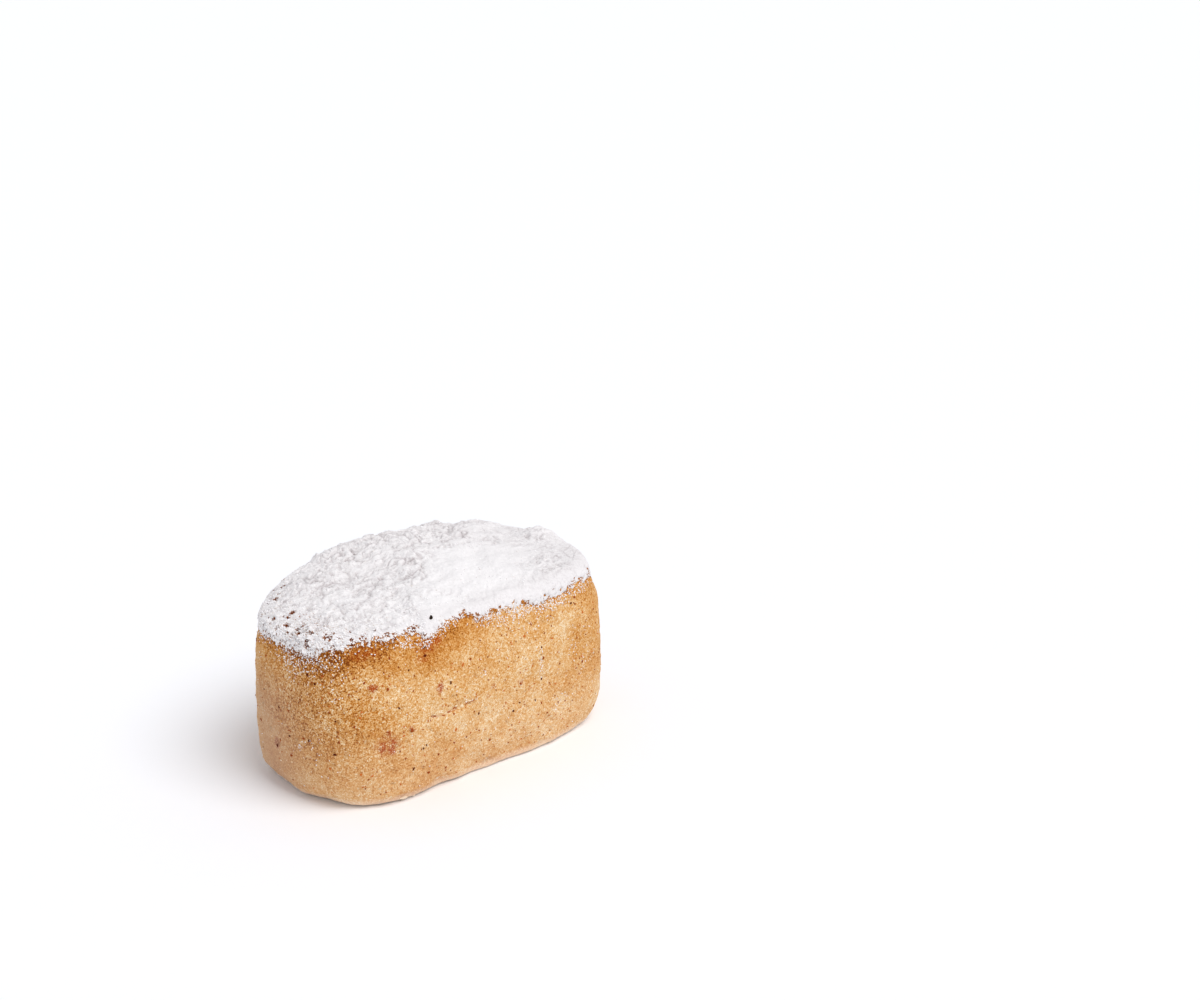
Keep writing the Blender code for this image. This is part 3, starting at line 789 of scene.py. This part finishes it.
def folds(point):     # creases winding slantwise over the top, and the soft lumps between them
    turn = math.radians(sugar["foldTurn"])
    wander = noise.noise_vector(point / 1.6 + Vector((5, 1, 8)))
    along = (point.x * math.cos(turn) + point.y * math.sin(turn) + 0.8 * wander.x) / sugar["foldStretch"]
    across = point.y * math.cos(turn) - point.x * math.sin(turn) + 0.8 * wander.y
    broken = smooth(noise.noise(point / 1.8 + Vector((1, 7, 2))) * 2.0 + 0.65)
    crease = max(winding(along, across, 1.9, 0.17, 3.4), 0.7 * winding(along, across, 1.0, 0.13, 8.4))
    crease *= broken
    nearer, further = noise.voronoi(Vector((along, across, 7.5)) / 0.8)[0][:2]
    finer = 0.42 * smooth(1 - (further - nearer) / 0.2)
    finer *= smooth(noise.noise(point / 1.1 + Vector((6, 2, 9))) * 1.8 + 0.4)
    return max(crease, finer), 1 - min(nearer / 0.7, 1.0) ** 2


def softMin(a, b):     # the lower of two, with a soft corner between them
    blend = 0.10
    share = min(max(0.5 + 0.5 * (b - a) / blend, 0.0), 1.0)
    return b + (a - b) * share - blend * share * (1 - share)


# loose grains, flecks and flakes
grains = {
    # how many lie along the sugar's edge, on its left end, on the top and anywhere on the side
    "along": 3300, "leftEnd": 2100, "top": 300, "anywhere": 200,
    "least": 0.032, "most": 0.09,                           # radius in mm; finer ones wouldn't show
    "highest": 23.9,                                        # on the side, mm
    "batch": 200,                                           # made together: a large mesh is slow to grow
}
# patches of grains: degrees, height, half width, half tallness, count
grainPatches = (
    (-172, 20.2, 2.6, 1.5, 110), (-163, 20.5, 2.6, 1.4, 110), (-155, 20.8, 2.2, 1.5, 60),
    (-153, 18.0, 1.4, 1.8, 20), (-166, 18.2, 3.4, 1.2, 40), (-133, 22.5, 1.6, 0.6, 70),
    (-127, 21.7, 1.3, 0.8, 50), (-121, 22.6, 1.2, 0.6, 40), (-92, 22.3, 3.0, 0.7, 150),
    (-74, 21.5, 3.2, 0.8, 190), (-57, 20.9, 3.0, 0.8, 160), (-66.6, 13.8, 0.3, 2.0, 34),
    (-42, 21.4, 2.4, 0.7, 70), (-84, 20.6, 2.4, 0.9, 40), (-70, 19.6, 2.4, 1.2, 30),
    (-100, 15.2, 0.8, 0.4, 16), (-54.5, 6.4, 1.7, 1.6, 36), (-50, 14.5, 2.4, 3.0, 30),
    (-108.5, 12.2, 0.9, 0.3, 8), (-166, 8.2, 0.6, 0.5, 12), (-160, 7.6, 2.4, 2.2, 22),
    (-45, 11.5, 2.0, 3.0, 30), (60, 20.6, 4.0, 1.2, 60), (120, 21.4, 4.0, 1.0, 60), (20, 20.4, 3.0, 1.4, 50),
    (85, 12.0, 2.2, 2.4, 30), (-10, 8.0, 2.4, 2.4, 26),
)
# flecks of skin that show: degrees, height, half size in mm
darkFlecks = (
    (-177.8, 6.7, 0.18), (-175.2, 12.7, 0.15), (-170.8, 9.2, 0.14), (-163.2, 18.7, 0.19), (-162.2, 9.7, 0.19),
    (-160, 17.8, 0.19), (-153.5, 8.5, 0.19), (-153, 13.3, 0.13), (-146.5, 16.3, 0.12), (-135.5, 14.3, 0.17),
    (-132.5, 19, 0.14), (-131.5, 5, 0.19), (-128, 7.6, 0.14), (-127, 8, 0.12), (-127, 20.3, 0.20),
    (-117.2, 15.7, 0.19), (-102.8, 9.7, 0.15), (-81.7, 7.9, 0.19), (-78, 8.8, 0.14), (-69, 8.2, 0.15),
    (-66.5, 15.8, 0.13), (-66, 11, 0.18), (-49.7, 20.1, 0.18),
)
brownFlecks = (
    (-172.5, 15.5, 0.10), (-170.5, 6.4, 0.22), (-170.5, 12.8, 0.11), (-165.5, 15.1, 0.11),
    (-164.5, 9.7, 0.20), (-161.2, 17.9, 0.14), (-157.5, 11.2, 0.11), (-157.5, 19.1, 0.19),
    (-154.8, 14.5, 0.12), (-152.8, 16.3, 0.15), (-152, 10.4, 0.14), (-149.2, 17, 0.14), (-147.8, 12.6, 0.15),
    (-145.2, 18.4, 0.17), (-138.8, 11.3, 0.18), (-138.8, 17.2, 0.22), (-138.5, 21.1, 0.16),
    (-133.8, 6.8, 0.13), (-131.8, 10.7, 0.24), (-126.2, 3.6, 0.22), (-122, 5.8, 0.17), (-118.7, 3.2, 0.19),
    (-115, 6.7, 0.15), (-102.2, 7.1, 0.12), (-95.2, 4.9, 0.19), (-87.5, 13.1, 0.10), (-78, 11.6, 0.20),
    (-70.5, 19.4, 0.16), (-65.8, 7.5, 0.16), (-65.8, 14.2, 0.18), (-62.5, 5.7, 0.14), (-56.8, 12.2, 0.14),
    (-56.5, 6.4, 0.14), (-52.8, 6.1, 0.14), (-47.8, 19.7, 0.15), (-47.2, 20.6, 0.20), (-45.8, 10.9, 0.20),
    (-37.7, 17.3, 0.14),
)
orangeFlecks = (
    (-155.2, 6.4, 0.16), (-146.5, 5.6, 0.18), (-146.2, 13.8, 0.16), (-145.8, 14.6, 0.15), (-143.5, 5.2, 0.15),
    (-135.8, 3.2, 0.14), (-134.2, 10.2, 0.18), (-134, 11.5, 0.16), (-114.7, 8.7, 0.22), (-111.2, 17.5, 0.22),
    (-107, 17.8, 0.11), (-89.8, 17.6, 0.10), (-75, 18.2, 0.22), (-60.7, 16.4, 0.17), (-46, 11.7, 0.15),
    (-45, 18.1, 0.20),
)
skin = {
    "elsewhere": 230, "small": 260,                         # flecks beside the listed ones
    "tones": (0.12, 0.4, 0.5, 0.6, 0.8, 1.0), "smallTones": (0.4, 0.6, 0.8, 1.0),
    "halfThick": 0.07, "lift": 0.03,
}
# thin brown lines in the crease of the front, which also paint its shade: degrees, height, length, slant in
# degrees
crackShadeSlivers = (
    (-123.4, 11.6, 1.0, 4), (-120.3, 11.5, 0.6, -12), (-117.6, 11.6, 0.7, 14), (-115.4, 11.75, 1.1, 8),
    (-109.2, 11.75, 0.8, 30), (-106.4, 11.95, 0.9, 6),
)


def lie(place, out, size):     # a small body's place, turned at random about the way out
    turn = Matrix.Rotation(draw.uniform(0, math.tau), 4, "Z")
    return (Matrix.Translation(place) @ out.to_track_quat("Z", "Y").to_matrix().to_4x4() @ turn
            @ Matrix.Diagonal((*size, 1.0)))


def lieAlong(place, out, size, slant=0.0):     # a long body's place along the side, slanting by some degrees
    along = out.cross(Vector((0, 0, 1))).normalized()
    turned = Matrix((along, out.cross(along), out)).transposed().to_4x4()
    return (Matrix.Translation(place) @ turned @ Matrix.Rotation(math.radians(slant), 4, "Z")
            @ Matrix.Diagonal((*size, 1.0)))


def addBit(bm, matrix, layer, value, subdivisions=2, rough=0.0, lump=1.0):     # a small rough body
    made = bmesh.ops.create_icosphere(bm, subdivisions=subdivisions, radius=1.0, matrix=matrix)["verts"]
    for vert in made:
        if rough:
            vert.co += rough * noise.noise_vector(vert.co / lump)
        vert[layer] = value
    return made


def makeGrains(material):
    grainSpots = []     # on what each lies, its angle round, and its length down from the rim
    for index in range(grains["along"]):
        angle = math.radians(draw.uniform(-180, 180))
        far = 0.9 if bell(math.degrees(angle), -168, 18) > draw.random() else 0.3
        grainSpots.append((onBlock, angle, edgeDown(angle) - 0.35 + draw.expovariate(1 / far)))
    for degrees, height, halfWidth, halfTall, count in grainPatches:
        for index in range(count):
            angle = math.radians(degrees)
            angle += draw.gauss(0, 0.6) * halfWidth / planRadius(angle, 0.0)
            level = min(height + draw.gauss(0, 0.6) * halfTall, grains["highest"])
            grainSpots.append((onBlock, angle, downTo(level)))
    for index in range(grains["anywhere"]):
        grainSpots.append((onBlock, math.radians(draw.uniform(-180, 180)), downTo(draw.uniform(2, 20))))
    for index in range(grains["leftEnd"]):
        angle = math.radians(draw.gauss(-170, 22))
        grainSpots.append((onSugar, angle, edgeDown(angle) - draw.expovariate(1 / 2.2)))
    for index in range(grains["top"]):
        angle = math.radians(draw.uniform(-180, 180))
        grainSpots.append((onSugar, angle, -(topRadius(angle) - 1) * (1 - math.sqrt(draw.uniform(0.1, 1)))))
    whole = bmesh.new()
    for start in range(0, len(grainSpots), grains["batch"]):
        batch = bmesh.new()
        tone, = newLayers(batch, "tone")
        for ground, angle, down in grainSpots[start:start + grains["batch"]]:
            place, out = ground(math.remainder(angle, math.tau), min(down, sideLength - footArc))
            radius = draw.uniform(grains["least"], grains["most"]) * (1.0 if ground == onBlock else 1.5)
            size = (radius * draw.uniform(1.0, 2.0), radius, radius * draw.uniform(0.5, 0.9))
            matrix = lie(place + out * 0.3 * radius, out, size)
            value = draw.random() ** 4 if ground == onBlock else 0.45 * draw.random() ** 3
            addBit(batch, matrix, tone, value, subdivisions=1)
        part = bpy.data.meshes.new("part")
        batch.to_mesh(part)
        batch.free()
        whole.from_mesh(part)
        bpy.data.meshes.remove(part)
    intoPlace(whole)
    return asPiece("sugar_grains", whole, material)


def makeFlecks(material):
    bm = bmesh.new()
    tone, = newLayers(bm, "tone")
    groups = ((darkFlecks, 0.12), (brownFlecks, 0.5), (orangeFlecks, 1.0))
    listed = [(fleck, value) for group, value in groups for fleck in group]
    for index in range(skin["elsewhere"]):     # on the sides that the lists leave out
        fleck = (draw.uniform(-30, 178), draw.uniform(1.5, 21), 0.06 + 0.13 * draw.random() ** 2)
        listed.append((fleck, draw.choice(skin["tones"])))
    for index in range(skin["small"]):
        fleck = (draw.uniform(-178, -34), draw.uniform(1.5, 20), draw.uniform(0.06, 0.125))
        listed.append((fleck, draw.choice(skin["smallTones"])))
    for (degrees, height, half), value in listed:
        place, out = onBlock(math.radians(degrees), downTo(height))
        narrow = draw.uniform(0.62, 1.0)
        size = (0.95 * half / narrow, 0.95 * half * narrow, skin["halfThick"])
        matrix = lie(place + skin["lift"] * out, out, size)
        addBit(bm, matrix, tone, value, rough=0.25 * half, lump=1.2 * half)
    for degrees, height, length, slant in crackShadeSlivers:
        place, out = onBlock(math.radians(degrees), downTo(height))
        matrix = lieAlong(place + 0.02 * out, out, (length / 2, 0.065, 0.05), 180 + slant)
        addBit(bm, matrix, tone, 0.7, subdivisions=3, rough=0.11, lump=0.3)
    place, out = onSugar(math.radians(-124), 0.35)     # one burnt crumb on the sugar
    addBit(bm, lie(place, out, (0.36, 0.2, 0.16)), tone, 0.0, rough=0.12, lump=0.3)
    intoPlace(bm)
    return asPiece("skin_flecks", bm, material)


chipped = {"crumbs": 150, "clumps": 90}                     # beside the listed ones
# flakes and crumbs that stand off the block: degrees, height, length, width, thickness
flakes = (
    (-135.0, 0.55, 1.3, 0.45, 0.30), (-131.5, 0.4, 0.6, 0.35, 0.2), (-92.8, 1.3, 1.5, 0.4, 0.26),
    (-121.0, 1.3, 0.8, 0.4, 0.25), (-63, 1.0, 0.9, 0.4, 0.25), (-16, 1.2, 1.2, 0.5, 0.3),
    (40, 1.1, 1.4, 0.5, 0.3), (90, 1.3, 1.0, 0.45, 0.3), (140, 1.0, 1.2, 0.5, 0.3),
    (-111.4, 11.7, 0.75, 0.5, 0.2), (-123.6, 11.95, 0.5, 0.22, 0.15), (-103.4, 12.2, 0.4, 0.22, 0.15),
    (-107.6, 12.1, 0.5, 0.2, 0.15), (-114.0, 11.95, 0.5, 0.2, 0.15),
)
# toasted clumps that break the sugar's edge: degrees and length
edgeClumps = [
    (-89.6, 0.8), (-90.6, 0.5), (-86.2, 0.7), (-85.4, 0.5), (-73, 0.8), (-72, 0.5), (-103, 0.5), (-94.5, 0.5),
    (-60, 0.5), (-67.5, 0.45),
]
edgeClumps += [(draw.uniform(-180, 180), draw.uniform(0.2, 0.4)) for index in range(chipped["clumps"])]


def makeFlakes(material):
    bm = bmesh.new()
    toast, = newLayers(bm, "toast")
    bits = [(*flake, 0.12) for flake in flakes]
    for index in range(chipped["crumbs"]):
        length = draw.uniform(0.18, 0.42)
        degrees, height = draw.uniform(-180, 180), draw.uniform(0.6, 22.0)
        bits.append((degrees, height, length, 0.7 * length, 0.16, draw.uniform(0.1, 0.6)))
    for degrees, length in edgeClumps:
        height = block["height"] - between(sugarEdge, edgePlaces, degrees) + draw.uniform(-0.15, 0.3)
        bits.append((degrees, height, length, 0.6 * length, 0.5 * length, draw.uniform(0.75, 0.95)))
    for degrees, height, length, width, thickness, value in bits:
        place, out = onBlock(math.radians(degrees), downTo(height))
        matrix = lieAlong(place + out * 0.1 * thickness, out, (length / 2, width / 2, thickness / 2))
        for vert in addBit(bm, matrix, toast, value, rough=0.3 * width, lump=0.8 * width):
            vert.co.z = max(vert.co.z, 0.05)     # none of them reaches under the floor
    intoPlace(bm)
    return asPiece("crumb_flakes", bm, material)


crumb = bakedCrumb()
dough = makeDough(crumb)
cap = makeSugar(siftedSugar())
loose = makeGrains(looseSugar())
flecks = makeFlecks(nutSkin())
flaked = makeFlakes(crumb)

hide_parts("dough")
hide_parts("sugar_cap")
for piece, slotName in ((dough, "baked_dough"), (cap, "icing_sugar"), (loose, "icing_sugar"),
                        (flecks, "baked_dough"), (flaked, "baked_dough")):
    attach(piece, "root")


# floor, light and camera

# sizes in metres, the sky's strength and the tints of both lights
stage = {
    "floorHalf": 30.0, "edgeRise": 3.0, "floor": "#FAFBFE",
    "sky": 0.56, "skyTint": (0.97, 0.985, 1.03), "lampTint": (1.01, 1.0, 0.985),
}


def layFloor():
    bm = bmesh.new()
    bmesh.ops.create_grid(bm, x_segments=8, y_segments=8, size=stage["floorHalf"])
    for vert in bm.verts:     # its far edge turns up, so that no sky shows over it in a low view
        if vert.is_boundary:
            vert.co.z = stage["edgeRise"]
    material, tree, surface = newMaterial("paperSweep", 0.9, 0.1)     # matt white card
    surface.inputs["Base Color"].default_value = fromHex(stage["floor"])
    floor = asPiece("floor", bm, material)


# a wide soft light from the front: turns in degrees
light = {"heading": -80, "rise": 58, "spread": 42, "strength": 1.85, "away": 0.6}
# place, focal length and sensor in mm, the turns in degrees
camera = {"place": (-154.1, -184.9, 110.6), "heading": 45.72, "down": 17.66, "focal": 56.1, "sensor": 36.0}


def lightIt():
    world = bpy.data.worlds.new("studio")
    world.use_nodes = True
    world.node_tree.nodes["Background"].inputs["Color"].default_value = stage["skyTint"] + (1.0,)
    world.node_tree.nodes["Background"].inputs["Strength"].default_value = stage["sky"]
    bpy.context.scene.world = world
    lamp = bpy.data.lights.new("softLight", "SUN")
    lamp.angle = math.radians(light["spread"])
    lamp.energy = light["strength"]
    lamp.color = stage["lampTint"]
    softLight = bpy.data.objects.new("softLight", lamp)
    turn, rise = math.radians(light["heading"]), math.radians(light["rise"])
    towards = Vector((math.cos(turn) * math.cos(rise), math.sin(turn) * math.cos(rise), math.sin(rise)))
    softLight.location = towards * light["away"]
    softLight.rotation_euler = (-towards).to_track_quat("-Z", "Y").to_euler()
    bpy.context.scene.collection.objects.link(softLight)


def placeCamera():
    lens = bpy.data.cameras.new("view")
    lens.lens = camera["focal"]
    lens.sensor_width = camera["sensor"]
    lens.clip_start = 0.01
    lens.clip_end = 80
    eye = bpy.data.objects.new("view", lens)
    eye.location = Vector(camera["place"]) * mm
    eye.rotation_euler = (math.radians(90 - camera["down"]), 0, -math.radians(camera["heading"]))
    bpy.context.scene.collection.objects.link(eye)
    bpy.context.scene.camera = eye


layFloor()
lightIt()
placeCamera()
print("floor, light and camera are in place")
bpy.context.scene.view_settings.view_transform = "Standard"
